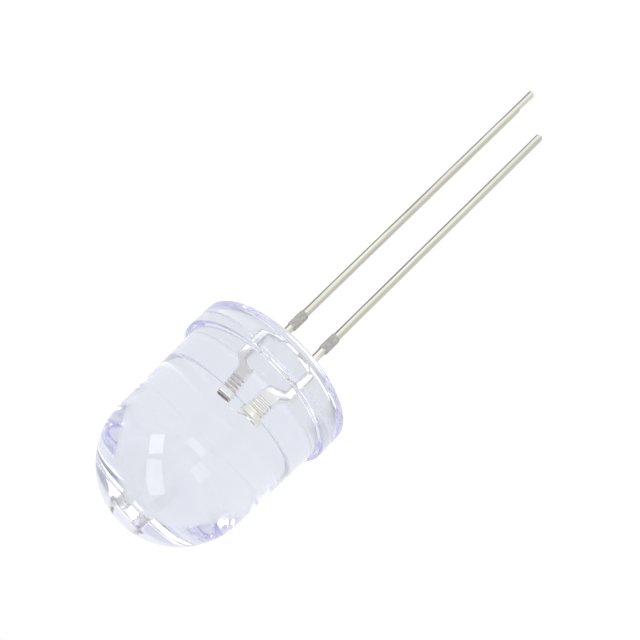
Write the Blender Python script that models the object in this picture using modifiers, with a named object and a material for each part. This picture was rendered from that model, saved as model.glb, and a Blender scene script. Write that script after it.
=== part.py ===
"""A 10 mm round clear blinking LED on two straight leads.

The lens axis is +Z with the dome up and the leads down. The origin is the centre of
the flat face behind the flange, which seats on a circuit board. The long anode lead
is at +X and the short cathode lead at -X, and both stamped frames lie in the XZ plane.
"""
import math

import bmesh
import bpy
from mathutils import Matrix, Vector

MM = 0.001

# Moulded epoxy body
DOME_RADIUS = 5.0 * MM
DOME_CENTRE = 8.65 * MM
DRAFT = 0.2 * MM
BODY_ROOT_RADIUS = DOME_RADIUS + DRAFT
FLANGE_STEP = 0.375 * MM
FLANGE_RADIUS = BODY_ROOT_RADIUS + FLANGE_STEP
FLANGE_THICKNESS = 2.2 * MM
SHOULDER_ROUND = 0.2 * MM
REAR_EDGE_ROUND = 0.45 * MM
TURN_STEPS = 72
DOME_STEPS = 16
ROUND_STEPS = 4

# Leads, stamped from one strip
PITCH = 2.54 * MM
LEAD_WIDTH = 0.45 * MM
STRIP_THICKNESS = 0.45 * MM
STRIP_EDGE_ROUND = 0.05 * MM
ANODE_LENGTH = 27.7 * MM
CATHODE_LENGTH = 25.2 * MM
SHEAR_STEP_LENGTH = 1.6 * MM
SHEAR_STEP_DEPTH = 0.08 * MM
TIP_CHAMFER = 0.12 * MM

# Stubs left where the tie bar between the leads was cut away
STUB_WIDTH = 0.6 * MM
STUB_TOP = -2.9 * MM
STUB_BOTTOM = -4.35 * MM
STUB_CHAMFER = 0.12 * MM

# Frames inside the epoxy: a wing that bends inward, then a ribbed block
WING_START = 1.3 * MM
WING_TOP = 1.85 * MM
SLOPE_START = 1.45 * MM
SLOPE_END = 2.3 * MM
BLOCK_BOTTOM = 2.6 * MM
BLOCK_TOP = 4.2 * MM
CURVE_STEPS = 7
ANODE_WING_INNER = 0.54 * MM
ANODE_BLOCK_WIDTH = 0.58 * MM
ANODE_BLOCK_ROOT = 0.79 * MM
ANODE_BLOCK_TIP = 0.68 * MM
CATHODE_WING_INNER = 0.33 * MM
CATHODE_BLOCK_WIDTH = 0.8 * MM
CATHODE_BLOCK_ROOT = 0.64 * MM
CATHODE_BLOCK_TIP = 0.64 * MM
RIB_COUNT = 4
RIB_PITCH = 0.29 * MM
RIB_FIRST = 2.78 * MM
RIB_DEPTH = 0.07 * MM
RIB_HALF_WIDTH = 0.08 * MM
GROOVE_DEPTH = 0.06 * MM
GROOVE_HALF_WIDTH = 0.065 * MM

# Reflector cup on top of the cathode frame
CUP_HEAD_RADIUS = 0.52 * MM
CUP_HEAD_HEIGHT = 0.42 * MM
CUP_TOP_RADIUS = 0.41 * MM
CUP_FLOOR_RADIUS = 0.27 * MM
CUP_DEPTH = 0.28 * MM
CUP_STEPS = 32

# Chips, their adhesive pads and the bond wires
LED_DIE_WIDTH = 0.28 * MM
LED_DIE_HEIGHT = 0.1 * MM
FLASHER_LENGTH = 0.5 * MM
FLASHER_WIDTH = 0.32 * MM
FLASHER_HEIGHT = 0.15 * MM
PAD_THICKNESS = 0.02 * MM
PAD_MARGIN = 0.015 * MM
WIRE_DIAMETER = 0.03 * MM
OUTPUT_WIRE_ARCH = 0.3 * MM
GROUND_WIRE_ARCH = 0.16 * MM
WIRE_STEPS = 12
BOND_INSET = 0.07 * MM
BOND_SPREAD = 0.08 * MM
GROUND_BOND_ANGLE = math.radians(40.0)

# Clearances
CAST_GAP = 0.02 * MM
CHIP_HEADROOM = 0.06 * MM
SEAT_GAP = 0.004 * MM
MERGE_DISTANCE = 1e-7
CUT_MARGIN = 0.1 * MM


def clear_scene():
    for old in list(bpy.data.objects):
        bpy.data.objects.remove(old, do_unlink=True)


def make_collection(name):
    collection = bpy.data.collections.new(name)
    bpy.context.scene.collection.children.link(collection)
    return collection


def make_material(name, color, metallic, roughness, transmission=0.0, ior=1.5):
    material = bpy.data.materials.new(name)
    material.use_nodes = True
    shader = material.node_tree.nodes["Principled BSDF"]
    shader.inputs["Base Color"].default_value = (*color, 1.0)
    shader.inputs["Metallic"].default_value = metallic
    shader.inputs["Roughness"].default_value = roughness
    shader.inputs["Transmission Weight"].default_value = transmission
    shader.inputs["IOR"].default_value = ior
    material.diffuse_color = (*color, 1.0)
    return material


clear_scene()
PARTS = make_collection("blinking_led")
CUTTERS = make_collection("cutters")

CLEAR_EPOXY = make_material("clear_epoxy", (0.93, 0.94, 1.0), 0.0, 0.03, transmission=1.0, ior=1.53)
TINNED_STEEL = make_material("tinned_steel", (0.74, 0.74, 0.70), 1.0, 0.3)
DIE_CRYSTAL = make_material("die_crystal", (0.75, 0.72, 0.45), 0.2, 0.35)
SILICON = make_material("silicon", (0.12, 0.11, 0.14), 0.3, 0.25)
SILVER_EPOXY = make_material("silver_epoxy", (0.65, 0.64, 0.62), 0.6, 0.6)
GOLD_WIRE = make_material("gold_wire", (0.95, 0.73, 0.32), 1.0, 0.2)


def add_object(name, data, material=None, collection=None):
    new = bpy.data.objects.new(name, data)
    (collection or PARTS).objects.link(new)
    if material is not None:
        data.materials.clear()
        data.materials.append(material)
    return new


def adopt_primitive(name, material=None, collection=None):
    """Names the primitive that was just added and moves it to its collection."""
    new = bpy.context.active_object
    new.name = name
    for old in list(new.users_collection):
        old.objects.unlink(new)
    (collection or PARTS).objects.link(new)
    if material is not None:
        new.data.materials.append(material)
    return new


def add_box(name, centre, size, material=None, collection=None):
    bpy.ops.mesh.primitive_cube_add(size=1.0, location=centre)
    box = adopt_primitive(name, material, collection)
    box.data.transform(Matrix.Diagonal((*size, 1.0)))
    return box


def hide_cutter(cutter):
    cutter.hide_render = True
    cutter.display_type = "WIRE"


def boolean(target, cutter, operation):
    modifier = target.modifiers.new(f"{operation.lower()}_{cutter.name}", "BOOLEAN")
    modifier.operation = operation
    modifier.solver = "EXACT"
    modifier.object = cutter
    hide_cutter(cutter)
    return modifier


def as_mesh(curve_object):
    """Turns a filled curve into a mesh object with its caps welded on."""
    graph = bpy.context.evaluated_depsgraph_get()
    mesh = bpy.data.meshes.new_from_object(curve_object.evaluated_get(graph))
    shape = bmesh.new()
    shape.from_mesh(mesh)
    bmesh.ops.remove_doubles(shape, verts=shape.verts, dist=MERGE_DISTANCE)
    bmesh.ops.recalc_face_normals(shape, faces=shape.faces)
    shape.to_mesh(mesh)
    shape.free()
    name = curve_object.name
    collection = curve_object.users_collection[0]
    world = curve_object.matrix_world.copy()
    bpy.data.objects.remove(curve_object, do_unlink=True)
    solid = bpy.data.objects.new(name, mesh)
    collection.objects.link(solid)
    solid.matrix_world = world
    return solid


def flat_outline(name, points, thickness, material=None, collection=None):
    """A plate whose outline lies in the XZ plane, centred on Y = 0."""
    curve = bpy.data.curves.new(name, "CURVE")
    curve.dimensions = "2D"
    curve.fill_mode = "BOTH"
    curve.extrude = thickness / 2
    spline = curve.splines.new("POLY")
    spline.points.add(len(points) - 1)
    for point, (x, z) in zip(spline.points, points):
        point.co = (x, z, 0.0, 1.0)
    spline.use_cyclic_u = True
    plate = add_object(name, curve, material, collection)
    plate.rotation_euler = (math.radians(90.0), 0.0, 0.0)
    bpy.context.view_layer.update()
    return as_mesh(plate)


def arc(centre_r, centre_z, radius, start_deg, end_deg, steps):
    """Points of an arc in the (r, z) half plane, ends included."""
    points = []
    for i in range(steps + 1):
        angle = math.radians(start_deg + (end_deg - start_deg) * i / steps)
        points.append((centre_r + radius * math.cos(angle), centre_z + radius * math.sin(angle)))
    return points


def lens_profile():
    """The moulded outline from the top of the dome down to the centre of the rear face."""
    dome = arc(0.0, DOME_CENTRE, DOME_RADIUS, 90.0, 0.0, DOME_STEPS)
    ledge = [(BODY_ROOT_RADIUS, FLANGE_THICKNESS)]
    shoulder = arc(FLANGE_RADIUS - SHOULDER_ROUND, FLANGE_THICKNESS - SHOULDER_ROUND, SHOULDER_ROUND, 90.0, 0.0,
                   ROUND_STEPS)
    rear = arc(FLANGE_RADIUS - REAR_EDGE_ROUND, REAR_EDGE_ROUND, REAR_EDGE_ROUND, 0.0, -90.0, ROUND_STEPS)
    dome[0] = (0.0, DOME_CENTRE + DOME_RADIUS)
    return dome + ledge + shoulder + rear + [(0.0, 0.0)]


def make_lens():
    profile = lens_profile()
    mesh = bpy.data.meshes.new("lens_body")
    mesh.from_pydata([(r, 0.0, z) for r, z in profile], [(i, i + 1) for i in range(len(profile) - 1)], [])
    lens = add_object("lens_body", mesh, CLEAR_EPOXY)
    turn = lens.modifiers.new("turn", "SCREW")
    turn.axis = "Z"
    turn.steps = TURN_STEPS
    turn.render_steps = TURN_STEPS
    turn.use_merge_vertices = True
    turn.merge_threshold = MERGE_DISTANCE
    turn.use_smooth_shade = True
    return lens


def s_curve(start, end):
    """Points that leave the start and reach the end straight up, ends included."""
    points = []
    for i in range(CURVE_STEPS + 1):
        t = i / CURVE_STEPS
        ease = t * t * (3.0 - 2.0 * t)
        points.append((start[0] + (end[0] - start[0]) * ease, start[1] + (end[1] - start[1]) * t))
    return points


def block_centre(root, tip, z):
    """The X of the leaning block's middle at height z."""
    return root + (tip - root) * (z - BLOCK_BOTTOM) / (BLOCK_TOP - BLOCK_BOTTOM)


def block_side(width, root, tip, toward):
    """One serrated side of the ribbed block, bottom to top; toward is +1 or -1 in X."""
    def edge(z, depth=0.0):
        return (block_centre(root, tip, z) + toward * (width / 2 - depth), z)

    points = [edge(BLOCK_BOTTOM)]
    for i in range(RIB_COUNT):
        z = RIB_FIRST + i * RIB_PITCH
        points.append(edge(z - RIB_HALF_WIDTH))
        points.append(edge(z, RIB_DEPTH))
        points.append(edge(z + RIB_HALF_WIDTH))
    points.append(edge(BLOCK_TOP))
    return points


def frame_outline(length, block, shear_step):
    """One lead and its frame for the +X side: up the inner edge, then down the outer edge."""
    wing_inner, width, root, tip = block
    axis_x = PITCH / 2
    inner = axis_x - LEAD_WIDTH / 2
    outer = axis_x + LEAD_WIDTH / 2
    stub_in = axis_x - STUB_WIDTH / 2
    stub_out = axis_x + STUB_WIDTH / 2
    tip_in = inner + shear_step
    up = [
        (tip_in + TIP_CHAMFER, -length),
        (tip_in, -length + TIP_CHAMFER),
    ]
    if shear_step > 0.0:
        up += [(tip_in, -length + SHEAR_STEP_LENGTH), (inner, -length + SHEAR_STEP_LENGTH + shear_step)]
    up += [
        (inner, STUB_BOTTOM),
        (stub_in, STUB_BOTTOM + STUB_CHAMFER),
        (stub_in, STUB_TOP - STUB_CHAMFER),
        (inner, STUB_TOP),
    ]
    up += s_curve((inner, WING_START), (wing_inner, WING_TOP))
    up += block_side(width, root, tip, -1)
    down = [
        (outer - TIP_CHAMFER, -length),
        (outer, -length + TIP_CHAMFER),
        (outer, STUB_BOTTOM),
        (stub_out, STUB_BOTTOM + STUB_CHAMFER),
        (stub_out, STUB_TOP - STUB_CHAMFER),
        (outer, STUB_TOP),
    ]
    down += s_curve((outer, SLOPE_START), (root + width / 2 - RIB_DEPTH, SLOPE_END))
    down += block_side(width, root, tip, 1)
    return up + down[::-1]


def grown(points, gap):
    """The clockwise outline moved outward by the gap, with mitred corners."""
    moved = []
    for i, here in enumerate(points):
        here = Vector(here)
        into = (here - Vector(points[i - 1])).normalized()
        away = (Vector(points[(i + 1) % len(points)]) - here).normalized()
        mitre = Vector((-into.y - away.y, into.x + away.x)) / (1.0 + into.dot(away))
        moved.append(here + mitre * gap)
    return moved


def cut_face_grooves(frame, side, block):
    """Coins the cross grooves into both broad faces of the block."""
    _, width, root, tip = block
    reach = width + 2 * CUT_MARGIN
    for face in (-1, 1):
        for i in range(RIB_COUNT):
            z = RIB_FIRST + i * RIB_PITCH
            y = face * STRIP_THICKNESS / 2
            bpy.ops.mesh.primitive_cylinder_add(
                vertices=4, radius=1.0, depth=reach, location=(side * block_centre(root, tip, z), y, z),
                rotation=(0.0, math.radians(90.0), 0.0))
            groove = adopt_primitive(f"groove_{frame.name}_{face}_{i}", collection=CUTTERS)
            groove.data.transform(Matrix.Diagonal((GROOVE_HALF_WIDTH, GROOVE_DEPTH, 1.0, 1.0)))
            boolean(frame, groove, "DIFFERENCE")


def make_frame(name, side, length, block, shear_step):
    """The stamped frame and the room that it leaves in the epoxy, one clearance larger."""
    outline = frame_outline(length, block, shear_step)
    room_outline = [(side * x, z) for x, z in grown(outline, CAST_GAP)]
    room = flat_outline(f"room_{name}", room_outline, STRIP_THICKNESS + 2 * CAST_GAP, collection=CUTTERS)
    frame = flat_outline(name, [(side * x, z) for x, z in outline], STRIP_THICKNESS, TINNED_STEEL)
    rounding = frame.modifiers.new("stamped_edges", "BEVEL")
    rounding.width = STRIP_EDGE_ROUND
    rounding.segments = 2
    rounding.limit_method = "ANGLE"
    rounding.angle_limit = math.radians(60.0)
    frame.modifiers.new("flat_faces", "TRIANGULATE")
    cut_face_grooves(frame, side, block)
    return frame, room


def add_reflector_head(frame, x, gap=0.0):
    """Joins the round head onto the frame and sinks the conical cup into it, all sides moved out by the gap."""
    head_top = BLOCK_TOP + SEAT_GAP
    bpy.ops.mesh.primitive_cylinder_add(
        vertices=CUP_STEPS, radius=CUP_HEAD_RADIUS + gap, depth=CUP_HEAD_HEIGHT + 2 * gap,
        location=(x, 0.0, head_top - CUP_HEAD_HEIGHT / 2))
    head = adopt_primitive(f"head_{frame.name}", collection=CUTTERS)
    boolean(frame, head, "UNION")
    slope = (CUP_TOP_RADIUS - CUP_FLOOR_RADIUS) / CUP_DEPTH
    cone_height = CUP_DEPTH + CUT_MARGIN
    bpy.ops.mesh.primitive_cone_add(
        vertices=CUP_STEPS, radius1=CUP_FLOOR_RADIUS - gap, radius2=CUP_TOP_RADIUS - gap + slope * CUT_MARGIN,
        depth=cone_height, location=(x, 0.0, head_top - CUP_DEPTH + gap + cone_height / 2))
    cup = adopt_primitive(f"cup_{frame.name}", collection=CUTTERS)
    boolean(frame, cup, "DIFFERENCE")


def make_chip(name, x, floor_z, length, width, height, material):
    """A chip on its adhesive pad; returns the chip's top height."""
    pad_base = floor_z + SEAT_GAP
    add_box(f"{name}_adhesive", (x, 0.0, pad_base + PAD_THICKNESS / 2),
            (length + 2 * PAD_MARGIN, width + 2 * PAD_MARGIN, PAD_THICKNESS), SILVER_EPOXY)
    chip_base = pad_base + PAD_THICKNESS + SEAT_GAP
    add_box(name, (x, 0.0, chip_base + height / 2), (length, width, height), material)
    return chip_base + height


def make_bond_wire(name, start, end, arch, radius=WIRE_DIAMETER / 2, material=GOLD_WIRE, collection=None):
    """A gold wire that rises from one pad, arches over and comes down on the other."""
    curve = bpy.data.curves.new(name, "CURVE")
    curve.dimensions = "3D"
    curve.bevel_depth = radius
    curve.bevel_resolution = 2
    curve.use_fill_caps = True
    spline = curve.splines.new("POLY")
    spline.points.add(WIRE_STEPS)
    for i in range(WIRE_STEPS + 1):
        t = i / WIRE_STEPS
        point = Vector(start).lerp(Vector(end), t)
        point.z += arch * math.sin(math.pi * t)
        spline.points[i].co = (*point, 1.0)
    wire = add_object(name, curve, material, collection)
    bpy.context.view_layer.update()
    return as_mesh(wire)


def chip_room(name, x, floor_z, length, width, height):
    """The room a chip and its pad take up in the epoxy, down to just inside their floor."""
    base = floor_z - SEAT_GAP
    top = floor_z + 2 * SEAT_GAP + PAD_THICKNESS + height + CHIP_HEADROOM
    return add_box(f"room_{name}", (x, 0.0, (base + top) / 2),
                   (length + 2 * (PAD_MARGIN + CAST_GAP), width + 2 * (PAD_MARGIN + CAST_GAP), top - base),
                   collection=CUTTERS)


lens_body = make_lens()
ANODE_BLOCK = (ANODE_WING_INNER, ANODE_BLOCK_WIDTH, ANODE_BLOCK_ROOT, ANODE_BLOCK_TIP)
CATHODE_BLOCK = (CATHODE_WING_INNER, CATHODE_BLOCK_WIDTH, CATHODE_BLOCK_ROOT, CATHODE_BLOCK_TIP)
anode_lead, anode_room = make_frame("anode_lead", 1, ANODE_LENGTH, ANODE_BLOCK, SHEAR_STEP_DEPTH)
cathode_lead, cathode_room = make_frame("cathode_lead", -1, CATHODE_LENGTH, CATHODE_BLOCK, 0.0)
add_reflector_head(cathode_lead, -CATHODE_BLOCK_TIP)
add_reflector_head(cathode_room, -CATHODE_BLOCK_TIP, CAST_GAP)

head_top = BLOCK_TOP + SEAT_GAP
led_die = (-CATHODE_BLOCK_TIP, head_top - CUP_DEPTH, LED_DIE_WIDTH, LED_DIE_WIDTH, LED_DIE_HEIGHT)
flasher_chip = (ANODE_BLOCK_TIP, BLOCK_TOP, FLASHER_LENGTH, FLASHER_WIDTH, FLASHER_HEIGHT)
led_top = make_chip("led_die", *led_die, DIE_CRYSTAL)
flasher_top = make_chip("flasher_chip", *flasher_chip, SILICON)

wire_lift = WIRE_DIAMETER / 2 + SEAT_GAP
rim_radius = (CUP_HEAD_RADIUS + CUP_TOP_RADIUS) / 2
chip_bond_x = ANODE_BLOCK_TIP - FLASHER_LENGTH / 2 + BOND_INSET
bonds = [
    ("output_bond_wire", (chip_bond_x, -BOND_SPREAD, flasher_top + wire_lift),
     (-CATHODE_BLOCK_TIP, 0.0, led_top + wire_lift), OUTPUT_WIRE_ARCH),
    ("ground_bond_wire", (chip_bond_x, BOND_SPREAD, flasher_top + wire_lift),
     (-CATHODE_BLOCK_TIP + rim_radius * math.cos(GROUND_BOND_ANGLE),
      rim_radius * math.sin(GROUND_BOND_ANGLE), head_top + wire_lift), GROUND_WIRE_ARCH),
]
rooms = [anode_room, cathode_room, chip_room("led_die", *led_die), chip_room("flasher_chip", *flasher_chip)]
for name, start, end, arch in bonds:
    make_bond_wire(name, start, end, arch)
    rooms.append(make_bond_wire(f"room_{name}", start, end, arch, WIRE_DIAMETER / 2 + CAST_GAP, None, CUTTERS))
for room in rooms:
    room.modifiers.new("flat_faces", "TRIANGULATE")
    boolean(lens_body, room, "DIFFERENCE")
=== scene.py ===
"""Looks of the blinking LED: clear resin, tinned leads, chips and bond wires over a white floor."""
import math

import bmesh
import bpy
from mathutils import Euler, Matrix, Vector


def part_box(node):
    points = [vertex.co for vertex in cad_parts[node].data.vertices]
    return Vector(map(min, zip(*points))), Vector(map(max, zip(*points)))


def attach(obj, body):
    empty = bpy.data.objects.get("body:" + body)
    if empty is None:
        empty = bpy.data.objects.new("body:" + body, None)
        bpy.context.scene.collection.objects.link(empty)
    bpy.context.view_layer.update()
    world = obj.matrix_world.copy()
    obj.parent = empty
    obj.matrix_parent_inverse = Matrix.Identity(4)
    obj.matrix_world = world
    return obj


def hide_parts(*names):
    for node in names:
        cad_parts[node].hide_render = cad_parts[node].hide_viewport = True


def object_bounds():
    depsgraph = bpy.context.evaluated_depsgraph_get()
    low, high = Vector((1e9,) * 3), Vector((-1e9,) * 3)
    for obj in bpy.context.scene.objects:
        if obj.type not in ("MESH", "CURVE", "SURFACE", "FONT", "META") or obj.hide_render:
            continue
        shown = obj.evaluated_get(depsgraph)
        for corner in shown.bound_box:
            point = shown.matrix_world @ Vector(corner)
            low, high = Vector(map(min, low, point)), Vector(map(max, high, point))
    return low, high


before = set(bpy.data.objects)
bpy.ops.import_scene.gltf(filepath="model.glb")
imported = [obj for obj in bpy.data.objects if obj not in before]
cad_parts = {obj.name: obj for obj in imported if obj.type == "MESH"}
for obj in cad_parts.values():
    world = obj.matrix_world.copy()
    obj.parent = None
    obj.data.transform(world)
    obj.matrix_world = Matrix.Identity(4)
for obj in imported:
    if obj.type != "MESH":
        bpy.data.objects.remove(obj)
cad_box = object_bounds()
MM = 0.001

# Photograph's camera
CAMERA_PLACE = Vector((-42.145, -116.351, 55.381)) * MM
CAMERA_TURN = (124.763, 139.843, 4.073)
CAMERA_LENS = 124.87
CAMERA_SENSOR = 36.0

# Moulded resin body: the CAD solid's outline in finer steps, with smaller rounds and a sunk rear face
_, LENS_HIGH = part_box("lens_body")
FLANGE_RADIUS = LENS_HIGH.x
BODY_TOP = LENS_HIGH.z
DOME_RADIUS = 5.0 * MM
BODY_ROOT_RADIUS = 5.2 * MM
FLANGE_THICKNESS = 2.2 * MM
SHOULDER_ROUND = 0.15 * MM
ROOT_FILLET = 0.08 * MM
REAR_EDGE_ROUND = 0.3 * MM
MENISCUS_DEPTH = 0.45 * MM
MENISCUS_CREEP = 0.5 * MM
MENISCUS_SPACING = 1.5
TURN_STEPS = 512
DOME_STEPS = 48
ROUND_STEPS = 8
MENISCUS_STEPS = 30
SHARP_ANGLE = math.radians(25.0)
MERGE_DISTANCE = 1e-7
RESIN_IOR = 1.53
RESIN_COLOR = (0.765, 0.79, 0.82, 1.0)
TONER_COLOR = (0.38, 0.3, 0.9, 1.0)
TONER_DENSITY = 7.0

# Stamped frames: the CAD solids' outlines in finer steps, with softer edges and deeper coined grooves
PITCH = 2.54 * MM
LEAD_WIDTH = 0.45 * MM
STRIP_THICKNESS = 0.45 * MM
EDGE_ROUND = 0.09 * MM
CORNER_SHARE = 0.35
EDGE_STEPS = 4
SHEAR_STEP_LENGTH = 1.6 * MM
SHEAR_STEP_DEPTH = 0.08 * MM
TIP_CHAMFER = 0.12 * MM
STUB_WIDTH = 0.6 * MM
STUB_TOP = -2.9 * MM
STUB_BOTTOM = -4.35 * MM
STUB_CHAMFER = 0.12 * MM
WING_START = 1.3 * MM
WING_TOP = 1.85 * MM
SLOPE_START = 1.45 * MM
SLOPE_END = 2.2 * MM
SLOPE_SPREAD = 0.03 * MM
BLOCK_BOTTOM = 2.6 * MM
BLOCK_TOP = 4.2 * MM
CURVE_STEPS = 24
ANODE_BLOCK = (0.54 * MM, 0.58 * MM, 0.79 * MM, 0.68 * MM)
CATHODE_BLOCK = (0.33 * MM, 0.8 * MM, 0.64 * MM, 0.64 * MM)
RIB_COUNT = 4
RIB_PITCH = 0.29 * MM
RIB_FIRST = 2.78 * MM
RIB_DEPTH = 0.07 * MM
RIB_HALF_WIDTH = 0.08 * MM
GROOVE_DEPTH = 0.12 * MM
GROOVE_HALF_WIDTH = 0.09 * MM
GROOVE_SIDES = 16
CUP_HEAD_RADIUS = 0.52 * MM
CUP_HEAD_HEIGHT = 0.42 * MM
CUP_TOP_RADIUS = 0.41 * MM
CUP_FLOOR_RADIUS = 0.27 * MM
CUP_DEPTH = 0.28 * MM
CUP_LIP_SHARE = 0.3
CUT_MARGIN = 0.1 * MM
SEAT_GAP = 0.004 * MM
# Height from which the lead's neck shows its brown painted shade in full
NECK_SHADE_START = -1.16 * MM
PLATING_FADE = 0.2 * MM
GROOVE_FADE = (0.08, 0.26)
CREEP_SHARES = (0.4, 0.55)

# Surroundings
FLOOR_HEIGHT = cad_box[0].z
FLOOR_HALF_SIZE = 4.0
FLOOR_COLOR = (0.8, 0.8, 0.8, 1.0)
FLOOR_GLOW = 0.29
WHITE = (1.0, 1.0, 1.0)
PANE_DISTANCE = 0.4
CARD_DISTANCE = 0.1
WALL_TOP = 0.3
WALL_FADE = 0.6
SWEEP_TOWARD = (0.0, 0.95, 0.3)
SWEEP_FADE = (0.3, 0.65)
ROOM_COLOR = (0.48, 0.49, 0.52)
LIGHT_BOUNCES = 64

# Soft panes and cards: name, direction from the dome, direction of the width, width, height, level, distance
LAMPS = (
    ("lower_pane", (0.373, -0.837, 0.327), (-0.76, -0.5, -0.42), 0.135, 0.18, 2.9, PANE_DISTANCE),
    ("upper_pane", (-0.017, -0.499, 0.802), (-0.83, -0.47, -0.32), 0.16, 0.34, 2.1, PANE_DISTANCE),
    ("low_card", (-0.337, -0.925, -0.174), (0.94, -0.34, 0.0), 0.05, 0.02, 1.4, CARD_DISTANCE),
    ("side_card", (-0.736, -0.663, 0.139), (0.67, -0.74, 0.0), 0.16, 0.14, 1.15, PANE_DISTANCE),
    ("back_card", (0.38, 0.53, 0.75), (0.82, -0.57, 0.0), 0.3, 0.1, 1.1, PANE_DISTANCE),
)

# Silver plating inside the resin: broad faces (painted shade), rims, tip of the block, coined grooves
# (painted shade)
ANODE_PLATING = ((0.76, 0.75, 0.73), (1.0, 1.0, 0.98), (0.98, 0.95, 0.92), (0.36, 0.31, 0.28))
CATHODE_PLATING = ((0.98, 0.97, 0.92), (1.0, 1.0, 0.96), (0.98, 0.97, 0.84), (0.52, 0.48, 0.42))


def new_material(name):
    """A material with an empty node tree; returns it with its tree and output node."""
    material = bpy.data.materials.new(name)
    material.use_nodes = True
    tree = material.node_tree
    tree.nodes.clear()
    output = tree.nodes.new("ShaderNodeOutputMaterial")
    return material, tree, output


def ramp_node(tree, source, stops):
    """A colour ramp on the source socket; stops are (position, colour)."""
    ramp = tree.nodes.new("ShaderNodeValToRGB")
    elements = ramp.color_ramp.elements
    while len(elements) < len(stops):
        elements.new(0.5)
    for element, (position, color) in zip(elements, stops):
        element.position = position
        element.color = (*color, 1.0)
    tree.links.new(source, ramp.inputs["Fac"])
    return ramp.outputs["Color"]


def split_node(tree, source):
    """The X, Y and Z outputs of a vector socket."""
    split = tree.nodes.new("ShaderNodeSeparateXYZ")
    tree.links.new(source, split.inputs["Vector"])
    return split.outputs


def range_node(tree, source, low, high, out_low, out_high):
    """The source's low to high range carried over to the out range, and clamped there."""
    node = tree.nodes.new("ShaderNodeMapRange")
    tree.links.new(source, node.inputs["Value"])
    node.inputs["From Min"].default_value = low
    node.inputs["From Max"].default_value = high
    node.inputs["To Min"].default_value = out_low
    node.inputs["To Max"].default_value = out_high
    return node.outputs["Result"]


def noise_node(tree, scale, detail, stretch=(1.0, 1.0, 1.0)):
    """Noise in object space, stretched by the given factors."""
    place = tree.nodes.new("ShaderNodeTexCoord")
    mapping = tree.nodes.new("ShaderNodeMapping")
    mapping.inputs["Scale"].default_value = stretch
    tree.links.new(place.outputs["Object"], mapping.inputs["Vector"])
    noise = tree.nodes.new("ShaderNodeTexNoise")
    noise.inputs["Scale"].default_value = scale
    noise.inputs["Detail"].default_value = detail
    tree.links.new(mapping.outputs["Vector"], noise.inputs["Vector"])
    return noise.outputs["Fac"]


def bump_node(tree, height, distance):
    """A bump of the given full height."""
    bump = tree.nodes.new("ShaderNodeBump")
    bump.inputs["Distance"].default_value = distance
    tree.links.new(height, bump.inputs["Height"])
    return bump.outputs["Normal"]


def math_node(tree, operation, first, second):
    """A math node on a socket and a number or second socket."""
    node = tree.nodes.new("ShaderNodeMath")
    node.operation = operation
    tree.links.new(first, node.inputs[0])
    if isinstance(second, (int, float)):
        node.inputs[1].default_value = second
    else:
        tree.links.new(second, node.inputs[1])
    return node.outputs["Value"]


def mix_node(tree, share, first, second):
    """A colour mix; the two colours are sockets or plain colours."""
    node = tree.nodes.new("ShaderNodeMix")
    node.data_type = "RGBA"
    tree.links.new(share, node.inputs["Factor"])
    for source, socket in ((first, node.inputs[6]), (second, node.inputs[7])):
        if isinstance(source, tuple):
            socket.default_value = (*source, 1.0)
        else:
            tree.links.new(source, socket)
    return node.outputs[2]


def clear_resin():
    """Water-clear epoxy with a trace of violet toner, polished by the mould."""
    material, tree, output = new_material("clear_resin")
    shader = tree.nodes.new("ShaderNodeBsdfPrincipled")
    shader.inputs["Transmission Weight"].default_value = 1.0
    shader.inputs["IOR"].default_value = RESIN_IOR
    shader.inputs["Base Color"].default_value = RESIN_COLOR
    film = noise_node(tree, 900.0, 2.0)
    tree.links.new(range_node(tree, film, 0.3, 0.7, 0.0, 0.02), shader.inputs["Roughness"])
    tree.links.new(shader.outputs["BSDF"], output.inputs["Surface"])
    toner = tree.nodes.new("ShaderNodeVolumeAbsorption")
    toner.inputs["Color"].default_value = TONER_COLOR
    toner.inputs["Density"].default_value = TONER_DENSITY
    tree.links.new(toner.outputs["Volume"], output.inputs["Volume"])
    return material


def groove_mask(tree, height):
    """1 in the middle of each coined groove of the ribbed block, 0 on the ribs and elsewhere.

    Compare is 1 where the first value is within the third, the tolerance, of the second.
    """
    above = math_node(tree, "SUBTRACT", height, RIB_FIRST)
    steps = math_node(tree, "MULTIPLY", above, 1.0 / RIB_PITCH)
    away = math_node(tree, "PINGPONG", steps, 0.5)
    bands = range_node(tree, away, *GROOVE_FADE, 1.0, 0.0)
    inside = math_node(tree, "COMPARE", steps, (RIB_COUNT - 1) / 2)
    inside.node.inputs[2].default_value = RIB_COUNT / 2
    return math_node(tree, "MULTIPLY", bands, inside)


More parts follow.
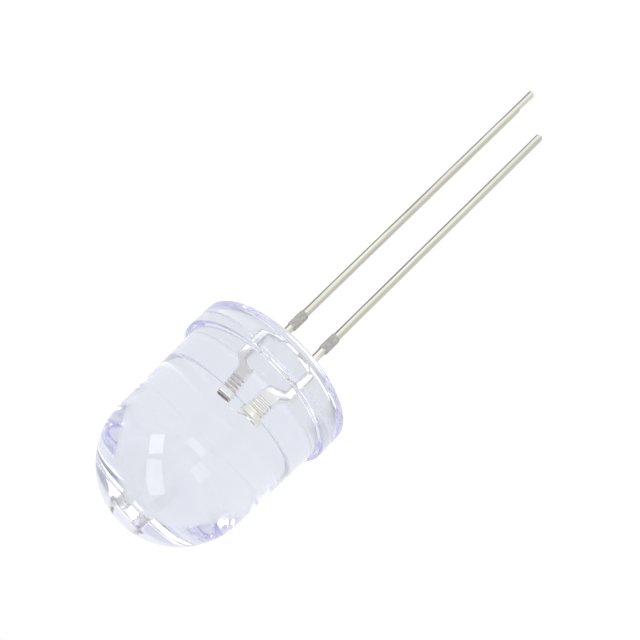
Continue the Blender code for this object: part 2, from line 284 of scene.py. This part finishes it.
def lead_finish(name, centre_x, face_shade_color, rim_color, tip_color, groove_shade_color):
    """Tin on the bare lead, rough shear marks on its stub and silver plating inside the resin.

    Across the bare lead the colour paints a highlight in the middle and shade along the +X edge,
    fading to painted shade towards -X, under random streaks; between stub and resin the +X edge is
    a brown painted shade. The plating's broad faces are painted darker than its rims, as shade; it
    takes the tip's tint near the top of the block; its coined grooves are painted dark, as shade.
    """
    material, tree, output = new_material(name)
    shader = tree.nodes.new("ShaderNodeBsdfPrincipled")
    place = tree.nodes.new("ShaderNodeTexCoord")
    x, _, z = split_node(tree, place.outputs["Object"])
    half = LEAD_WIDTH / 2
    across = range_node(tree, x, centre_x - half, centre_x + half, 0.0, 1.0)
    wave = noise_node(tree, 700.0, 2.0, (1.0, 1.0, 0.25))
    streaks = noise_node(tree, 5000.0, 3.0, (1.0, 1.0, 0.03))
    shifted = math_node(tree, "ADD", across, range_node(tree, wave, 0.3, 0.7, -0.06, 0.06))
    # Painted light across the lead's width: a painted highlight in the middle, painted shade along the +X
    # edge and fading towards -X.
    band = ramp_node(tree, shifted, [
        (0.0, (0.50, 0.49, 0.42)), (0.28, (0.62, 0.61, 0.52)), (0.42, (0.86, 0.85, 0.76)),
        (0.66, (0.88, 0.88, 0.80)), (0.78, (0.26, 0.26, 0.20)), (1.0, (0.16, 0.16, 0.12))])
    # Random darker streaks along the lead, laid over the painted highlight and shade.
    streaked_painted_light = mix_node(tree, range_node(tree, streaks, 0.35, 0.75, 0.0, 0.3), band, (0.42, 0.41, 0.36))
    grain = noise_node(tree, 14000.0, 4.0)
    scratches = noise_node(tree, 19000.0, 3.0, (1.0, 1.0, 0.5))
    sheared = ramp_node(tree, scratches, [
        (0.3, (0.33, 0.33, 0.31)), (0.5, (0.48, 0.47, 0.45)), (0.7, (0.64, 0.63, 0.60))])
    above = range_node(tree, z, STUB_BOTTOM, STUB_BOTTOM + STUB_CHAMFER, 0.0, 1.0)
    below = range_node(tree, z, STUB_TOP - STUB_CHAMFER, STUB_TOP, 1.0, 0.0)
    stub = math_node(tree, "MULTIPLY", above, below)
    # Near the resin the lead has a bright face and a brown painted shade along its +X edge.
    neck_shading = ramp_node(tree, shifted, [
        (0.62, (0.92, 0.91, 0.84)), (0.78, (0.42, 0.30, 0.20)), (1.0, (0.20, 0.14, 0.10))])
    neck = range_node(tree, z, STUB_TOP, NECK_SHADE_START, 0.0, 1.0)
    outside = mix_node(tree, stub, mix_node(tree, neck, streaked_painted_light, neck_shading), sheared)
    inside = range_node(tree, z, 0.0, PLATING_FADE, 0.0, 1.0)
    head = range_node(tree, z, RIB_FIRST + RIB_PITCH, RIB_FIRST + 3.0 * RIB_PITCH, 0.0, 1.0)
    # Broad faces take a darker colour than the rims: painted shade on the same silver.
    _, facing, _ = split_node(tree, place.outputs["Normal"])
    broad = range_node(tree, math_node(tree, "ABSOLUTE", facing, 0.0), 0.8, 0.98, 0.0, 1.0)
    tinted = mix_node(tree, head, mix_node(tree, broad, rim_color, face_shade_color), tip_color)
    patchy = range_node(tree, grain, 0.3, 0.7, 0.6, 1.0)
    # The coined grooves are painted dark, varied at random: painted shade.
    groove_shade = math_node(tree, "MULTIPLY", groove_mask(tree, z), patchy)
    plating = mix_node(tree, groove_shade, tinted, groove_shade_color)
    tree.links.new(mix_node(tree, inside, outside, plating), shader.inputs["Base Color"])
    tree.links.new(range_node(tree, inside, 0.0, 1.0, 1.0, 0.9), shader.inputs["Metallic"])
    rough = math_node(tree, "ADD", range_node(tree, stub, 0.0, 1.0, 0.22, 0.62),
                      range_node(tree, grain, 0.3, 0.7, -0.04, 0.04))
    tree.links.new(rough, shader.inputs["Roughness"])
    height = math_node(tree, "MULTIPLY", grain, stub)
    tree.links.new(bump_node(tree, height, 0.05 * MM), shader.inputs["Normal"])
    tree.links.new(shader.outputs["BSDF"], output.inputs["Surface"])
    return material


def speckled(name, dark, light, scale, metallic, roughness):
    """A fine-grained finish for the chips, pads and wires."""
    material, tree, output = new_material(name)
    shader = tree.nodes.new("ShaderNodeBsdfPrincipled")
    shader.inputs["Metallic"].default_value = metallic
    grain = noise_node(tree, scale, 3.0)
    tree.links.new(ramp_node(tree, grain, [(0.35, dark), (0.65, light)]), shader.inputs["Base Color"])
    rough = range_node(tree, grain, 0.3, 0.7, roughness * 0.8, roughness * 1.2)
    tree.links.new(rough, shader.inputs["Roughness"])
    tree.links.new(shader.outputs["BSDF"], output.inputs["Surface"])
    return material


def chip_finish():
    """A dark silicon top with silver epoxy that has crept up the lower part of the sides."""
    material, tree, output = new_material("silicon")
    shader = tree.nodes.new("ShaderNodeBsdfPrincipled")
    shader.inputs["Metallic"].default_value = 0.3
    place = tree.nodes.new("ShaderNodeTexCoord")
    _, _, z = split_node(tree, place.outputs["Object"])
    grain = noise_node(tree, 9000.0, 3.0)
    dark = ramp_node(tree, grain, [(0.35, (0.05, 0.045, 0.07)), (0.65, (0.26, 0.19, 0.21))])
    pale = ramp_node(tree, grain, [(0.35, (0.70, 0.60, 0.60)), (0.65, (0.93, 0.88, 0.88))])
    low, high = (corner.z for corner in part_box("flasher_chip"))
    uneven = range_node(tree, grain, 0.3, 0.7, -0.02 * MM, 0.02 * MM)
    edge = math_node(tree, "ADD", z, uneven)
    creep_low, creep_high = (low + share * (high - low) for share in CREEP_SHARES)
    crept = range_node(tree, edge, creep_low, creep_high, 1.0, 0.0)
    tree.links.new(mix_node(tree, crept, dark, pale), shader.inputs["Base Color"])
    tree.links.new(range_node(tree, grain, 0.3, 0.7, 0.24, 0.36), shader.inputs["Roughness"])
    tree.links.new(shader.outputs["BSDF"], output.inputs["Surface"])
    return material


def dress(node_name, material):
    """Gives a CAD node its finish."""
    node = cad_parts[node_name]
    node.data.materials.clear()
    node.data.materials.append(material)


def placed(name, data):
    """A new object with the data, linked to the scene."""
    new = bpy.data.objects.new(name, data)
    bpy.context.scene.collection.objects.link(new)
    return new


def arc(centre_r, centre_z, radius, start_deg, end_deg, steps):
    """Points of an arc in the (r, z) half plane, ends included."""
    points = []
    for i in range(steps + 1):
        angle = math.radians(start_deg + (end_deg - start_deg) * i / steps)
        points.append((centre_r + radius * math.cos(angle), centre_z + radius * math.sin(angle)))
    return points


def lens_profile():
    """Top of the dome, barrel, shoulder, flange and the slightly sunk rear face, down to the axis."""
    dome_centre = BODY_TOP - DOME_RADIUS
    dome = arc(0.0, dome_centre, DOME_RADIUS, 90.0, 0.0, DOME_STEPS)
    dome[0] = (0.0, BODY_TOP)
    root = arc(BODY_ROOT_RADIUS + ROOT_FILLET, FLANGE_THICKNESS + ROOT_FILLET, ROOT_FILLET,
               180.0, 270.0, ROUND_STEPS)
    shoulder = arc(FLANGE_RADIUS - SHOULDER_ROUND, FLANGE_THICKNESS - SHOULDER_ROUND, SHOULDER_ROUND,
                   90.0, 0.0, ROUND_STEPS)
    seat_radius = FLANGE_RADIUS - REAR_EDGE_ROUND
    rear = arc(seat_radius, REAR_EDGE_ROUND, REAR_EDGE_ROUND, 0.0, -90.0, ROUND_STEPS)
    sunk = []
    for i in range(1, MENISCUS_STEPS + 1):
        r = seat_radius * (1.0 - (i / MENISCUS_STEPS) ** MENISCUS_SPACING)
        sunk.append((r, MENISCUS_DEPTH * (1.0 - math.exp((r - seat_radius) / MENISCUS_CREEP))))
    return dome + root + shoulder + rear + sunk


def turned(name, profile):
    """A solid of revolution about Z, with the screw applied so that its corners can be marked."""
    mesh = bpy.data.meshes.new(name)
    mesh.from_pydata([(r, 0.0, z) for r, z in profile], [(i, i + 1) for i in range(len(profile) - 1)], [])
    outline = placed(f"{name}_outline", mesh)
    turn = outline.modifiers.new("turn", "SCREW")
    turn.axis = "Z"
    turn.steps = TURN_STEPS
    turn.render_steps = TURN_STEPS
    turn.use_merge_vertices = True
    turn.merge_threshold = MERGE_DISTANCE
    bpy.context.view_layer.update()
    graph = bpy.context.evaluated_depsgraph_get()
    solid = bpy.data.meshes.new_from_object(outline.evaluated_get(graph))
    bpy.data.objects.remove(outline, do_unlink=True)
    solid.name = name
    solid.shade_smooth()
    solid.set_sharp_from_angle(angle=SHARP_ANGLE)
    return placed(name, solid)


def s_curve(start, end):
    """Points that leave the start and reach the end straight up, ends included."""
    points = []
    for i in range(CURVE_STEPS + 1):
        t = i / CURVE_STEPS
        ease = t * t * (3.0 - 2.0 * t)
        points.append((start[0] + (end[0] - start[0]) * ease, start[1] + (end[1] - start[1]) * t))
    return points


def block_centre(block, z):
    """The X of the leaning block's middle at height z."""
    _, _, root, tip = block
    return root + (tip - root) * (z - BLOCK_BOTTOM) / (BLOCK_TOP - BLOCK_BOTTOM)


def block_side(block, toward):
    """One serrated side of the ribbed block, bottom to top; toward is +1 or -1 in X."""
    def edge(z, depth=0.0):
        return (block_centre(block, z) + toward * (block[1] / 2 - depth), z)

    points = [edge(BLOCK_BOTTOM)]
    for i in range(RIB_COUNT):
        z = RIB_FIRST + i * RIB_PITCH
        points += [edge(z - RIB_HALF_WIDTH), edge(z, RIB_DEPTH), edge(z + RIB_HALF_WIDTH)]
    points.append(edge(BLOCK_TOP))
    return points


def frame_outline(length, block, shear_step):
    """One lead and its frame for the +X side: up the inner edge, then down the outer edge."""
    wing_inner, width, root, _ = block
    inner = PITCH / 2 - LEAD_WIDTH / 2
    outer = PITCH / 2 + LEAD_WIDTH / 2
    stub_in = PITCH / 2 - STUB_WIDTH / 2
    stub_out = PITCH / 2 + STUB_WIDTH / 2
    tip_in = inner + shear_step
    up = [(tip_in + TIP_CHAMFER, -length), (tip_in, -length + TIP_CHAMFER)]
    if shear_step > 0.0:
        up += [(tip_in, -length + SHEAR_STEP_LENGTH), (inner, -length + SHEAR_STEP_LENGTH + shear_step)]
    down = [(outer - TIP_CHAMFER, -length), (outer, -length + TIP_CHAMFER)]
    for side, lead_x, stub_x in ((up, inner, stub_in), (down, outer, stub_out)):
        side += [(lead_x, STUB_BOTTOM), (stub_x, STUB_BOTTOM + STUB_CHAMFER)]
        side += [(stub_x, STUB_TOP - STUB_CHAMFER), (lead_x, STUB_TOP)]
    up += s_curve((inner, WING_START), (wing_inner, WING_TOP)) + block_side(block, -1)
    slope_end = (root + width / 2 + SLOPE_SPREAD, SLOPE_END)
    down += s_curve((outer, SLOPE_START), slope_end) + block_side(block, 1)
    return up + down[::-1]


def cut(target, tool):
    """Takes the tool's solid out of the target and removes the tool."""
    boolean = target.modifiers.new("cut", "BOOLEAN")
    boolean.operation = "DIFFERENCE"
    boolean.solver = "EXACT"
    boolean.object = tool
    settle(target)
    bpy.data.objects.remove(tool, do_unlink=True)


def settle(target):
    """Applies the object's modifiers."""
    bpy.context.view_layer.update()
    graph = bpy.context.evaluated_depsgraph_get()
    solid = bpy.data.meshes.new_from_object(target.evaluated_get(graph))
    target.modifiers.clear()
    target.data = solid


def stamped_plate(name, outline, thickness):
    """A plate in the XZ plane with rounded rims and slightly eased corners."""
    shape = bmesh.new()
    corners = [shape.verts.new((x, -thickness / 2, z)) for x, z in outline]
    face = shape.faces.new(corners)
    pushed = bmesh.ops.extrude_face_region(shape, geom=[face])
    for vertex in [item for item in pushed["geom"] if isinstance(item, bmesh.types.BMVert)]:
        vertex.co.y += thickness
    bmesh.ops.recalc_face_normals(shape, faces=shape.faces)
    weights = shape.edges.layers.float.new("bevel_weight_edge")
    for edge in shape.edges:
        across = abs(edge.verts[0].co.y - edge.verts[1].co.y) > thickness / 2
        if across:
            edge[weights] = CORNER_SHARE if edge.calc_face_angle(0.0) > SHARP_ANGLE else 0.0
        else:
            edge[weights] = 1.0
    mesh = bpy.data.meshes.new(name)
    shape.to_mesh(mesh)
    shape.free()
    plate = placed(name, mesh)
    rounding = plate.modifiers.new("rounding", "BEVEL")
    rounding.limit_method = "WEIGHT"
    rounding.width = EDGE_ROUND
    rounding.segments = EDGE_STEPS
    rounding.use_clamp_overlap = False
    settle(plate)
    return plate


def groove_tools(side, block):
    """Rounded bars across both broad faces, one for each coined groove."""
    shape = bmesh.new()
    for face in (-1, 1):
        for i in range(RIB_COUNT):
            z = RIB_FIRST + i * RIB_PITCH
            made = bmesh.ops.create_cone(shape, cap_ends=True, segments=GROOVE_SIDES, radius1=1.0,
                                         radius2=1.0, depth=1.0)
            size = Matrix.Diagonal((GROOVE_HALF_WIDTH, GROOVE_DEPTH, 2.0 * block[1], 1.0))
            place = Matrix.Translation((side * block_centre(block, z), face * STRIP_THICKNESS / 2, z))
            turn = Matrix.Rotation(math.radians(90.0), 4, "Y")
            bmesh.ops.transform(shape, matrix=place @ turn @ size, verts=made["verts"])
    mesh = bpy.data.meshes.new("grooves")
    shape.to_mesh(mesh)
    shape.free()
    return placed("grooves", mesh)


def make_frame(name, cad_name, side, block, shear_step):
    """One lead with its stamped frame, in place of the CAD node."""
    length = -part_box(cad_name)[0].z
    outline = [(side * x, z) for x, z in frame_outline(length, block, shear_step)]
    piece = stamped_plate(name, outline, STRIP_THICKNESS)
    cut(piece, groove_tools(side, block))
    return piece


def finish_frame(piece, cad_name, finish):
    """Gives the frame its finish and puts it in the CAD node's place."""
    piece.data.materials.clear()
    piece.data.materials.append(finish)
    piece.data.shade_smooth()
    piece.data.set_sharp_from_angle(angle=SHARP_ANGLE)
    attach(piece, "root")
    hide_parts(cad_name)


def add_reflector(piece, x):
    """Sinks the conical cup into the block and sets the round head around it."""
    top = BLOCK_TOP + SEAT_GAP
    lip = CUP_LIP_SHARE * (CUP_HEAD_RADIUS - CUP_TOP_RADIUS)
    outside = [(0.0, top - CUP_HEAD_HEIGHT), (CUP_HEAD_RADIUS, top - CUP_HEAD_HEIGHT)]
    rim = arc(CUP_HEAD_RADIUS - lip, top - lip, lip, 0.0, 90.0, EDGE_STEPS)
    bowl = [(CUP_TOP_RADIUS, top), (CUP_FLOOR_RADIUS, top - CUP_DEPTH), (0.0, top - CUP_DEPTH)]
    head = turned("reflector_head", outside + rim + bowl)
    slope = (CUP_TOP_RADIUS - CUP_FLOOR_RADIUS) / CUP_DEPTH
    cone = [(0.0, top - CUP_DEPTH), (CUP_FLOOR_RADIUS, top - CUP_DEPTH),
            (CUP_TOP_RADIUS + slope * CUT_MARGIN, top + CUT_MARGIN), (0.0, top + CUT_MARGIN)]
    bowl_tool = turned("bowl_tool", cone)
    for item in (head, bowl_tool):
        item.data.transform(Matrix.Translation((x, 0.0, 0.0)))
    cut(piece, bowl_tool)
    shape = bmesh.new()
    shape.from_mesh(piece.data)
    shape.from_mesh(head.data)
    shape.to_mesh(piece.data)
    shape.free()
    bpy.data.objects.remove(head, do_unlink=True)


def make_lens():
    """The resin body, in place of the CAD node."""
    lens = turned("clear_lens", lens_profile())
    lens.data.materials.append(clear_resin())
    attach(lens, "root")
    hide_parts("lens_body")


def make_camera():
    """The camera that was fitted to the photograph."""
    data = bpy.data.cameras.new("photo_camera")
    data.lens = CAMERA_LENS
    data.sensor_width = CAMERA_SENSOR
    data.clip_start = 1.0 * MM
    data.clip_end = 20.0
    camera = placed("photo_camera", data)
    camera.location = CAMERA_PLACE
    camera.rotation_euler = Euler([math.radians(v) for v in CAMERA_TURN], "XYZ")
    bpy.context.scene.camera = camera


def seen_ray(tree):
    """1 for camera, glossy and transmission rays, 0 for the rays that only carry light."""
    path = tree.nodes.new("ShaderNodeLightPath")
    total = path.outputs["Is Camera Ray"]
    for kind in ("Is Glossy Ray", "Is Transmission Ray"):
        total = math_node(tree, "MAXIMUM", total, path.outputs[kind])
    return total


def make_floor():
    """A white floor that keeps the object's shadow."""
    bpy.ops.mesh.primitive_plane_add(size=2.0 * FLOOR_HALF_SIZE, location=(0.0, 0.0, FLOOR_HEIGHT))
    floor = bpy.context.active_object
    floor.name = "floor"
    material, tree, output = new_material("white_floor")
    paint = tree.nodes.new("ShaderNodeBsdfDiffuse")
    paint.inputs["Color"].default_value = FLOOR_COLOR
    glow = tree.nodes.new("ShaderNodeEmission")
    glow.inputs["Color"].default_value = (*WHITE, 1.0)
    tree.links.new(math_node(tree, "MULTIPLY", seen_ray(tree), FLOOR_GLOW), glow.inputs["Strength"])
    both = tree.nodes.new("ShaderNodeAddShader")
    tree.links.new(paint.outputs["BSDF"], both.inputs[0])
    tree.links.new(glow.outputs["Emission"], both.inputs[1])
    tree.links.new(both.outputs["Shader"], output.inputs["Surface"])
    floor.data.materials.append(material)


def make_pane(name, toward, across, width, height, level, distance):
    """A soft window pane that faces the body; level is the brightness that a mirror would show."""
    out = Vector(toward).normalized()
    side = Vector(across)
    side = (side - out * side.dot(out)).normalized()
    data = bpy.data.lights.new(name, "AREA")
    data.shape = "RECTANGLE"
    data.size = width
    data.size_y = height
    data.energy = level * math.pi * width * height
    pane = placed(name, data)
    turn = Matrix((side, out.cross(side), out)).transposed()
    centre = Vector((0.0, 0.0, BODY_TOP - DOME_RADIUS))
    pane.matrix_world = Matrix.Translation(centre + out * distance) @ turn.to_4x4()
    pane.visible_camera = False


def make_world():
    """A studio that is white around the horizon and towards the sweep, and dimmer overhead."""
    world = bpy.data.worlds.new("studio")
    bpy.context.scene.world = world
    world.use_nodes = True
    tree = world.node_tree
    tree.nodes.clear()
    output = tree.nodes.new("ShaderNodeOutputWorld")
    place = tree.nodes.new("ShaderNodeTexCoord")
    _, _, z = split_node(tree, place.outputs["Generated"])
    low = range_node(tree, z, WALL_TOP, WALL_FADE, 1.0, 0.0)
    sweep = tree.nodes.new("ShaderNodeVectorMath")
    sweep.operation = "DOT_PRODUCT"
    sweep.inputs[1].default_value = Vector(SWEEP_TOWARD).normalized()
    tree.links.new(place.outputs["Generated"], sweep.inputs[0])
    behind = range_node(tree, sweep.outputs["Value"], *SWEEP_FADE, 0.0, 1.0)
    color = mix_node(tree, math_node(tree, "MAXIMUM", low, behind), ROOM_COLOR, WHITE)
    studio = tree.nodes.new("ShaderNodeBackground")
    tree.links.new(color, studio.inputs["Color"])
    tree.links.new(studio.outputs["Background"], output.inputs["Surface"])


make_camera()
make_floor()
make_world()
make_lens()
for lamp in LAMPS:
    make_pane(*lamp)

anode = make_frame("anode_frame", "anode_lead", 1, ANODE_BLOCK, SHEAR_STEP_DEPTH)
finish_frame(anode, "anode_lead", lead_finish("plated_anode", PITCH / 2, *ANODE_PLATING))
cathode = make_frame("cathode_frame", "cathode_lead", -1, CATHODE_BLOCK, 0.0)
add_reflector(cathode, -CATHODE_BLOCK[3])
finish_frame(cathode, "cathode_lead", lead_finish("plated_cathode", -PITCH / 2, *CATHODE_PLATING))

dress("led_die", speckled("die_crystal", (0.62, 0.58, 0.34), (0.86, 0.83, 0.60), 9000.0, 0.2, 0.35))
dress("flasher_chip", chip_finish())
silver = speckled("silver_epoxy", (0.52, 0.51, 0.50), (0.78, 0.77, 0.74), 12000.0, 0.6, 0.5)
dress("led_die_adhesive", silver)
dress("flasher_chip_adhesive", silver)
gold = speckled("gold_wire", (0.92, 0.76, 0.46), (1.0, 0.90, 0.66), 6000.0, 1.0, 0.2)
dress("output_bond_wire", gold)
dress("ground_bond_wire", gold)

scene = bpy.context.scene
scene.view_settings.view_transform = "Standard"
scene.cycles.max_bounces = LIGHT_BOUNCES
scene.cycles.transmission_bounces = LIGHT_BOUNCES
scene.cycles.glossy_bounces = LIGHT_BOUNCES
scene.cycles.caustics_refractive = True
scene.cycles.caustics_reflective = True
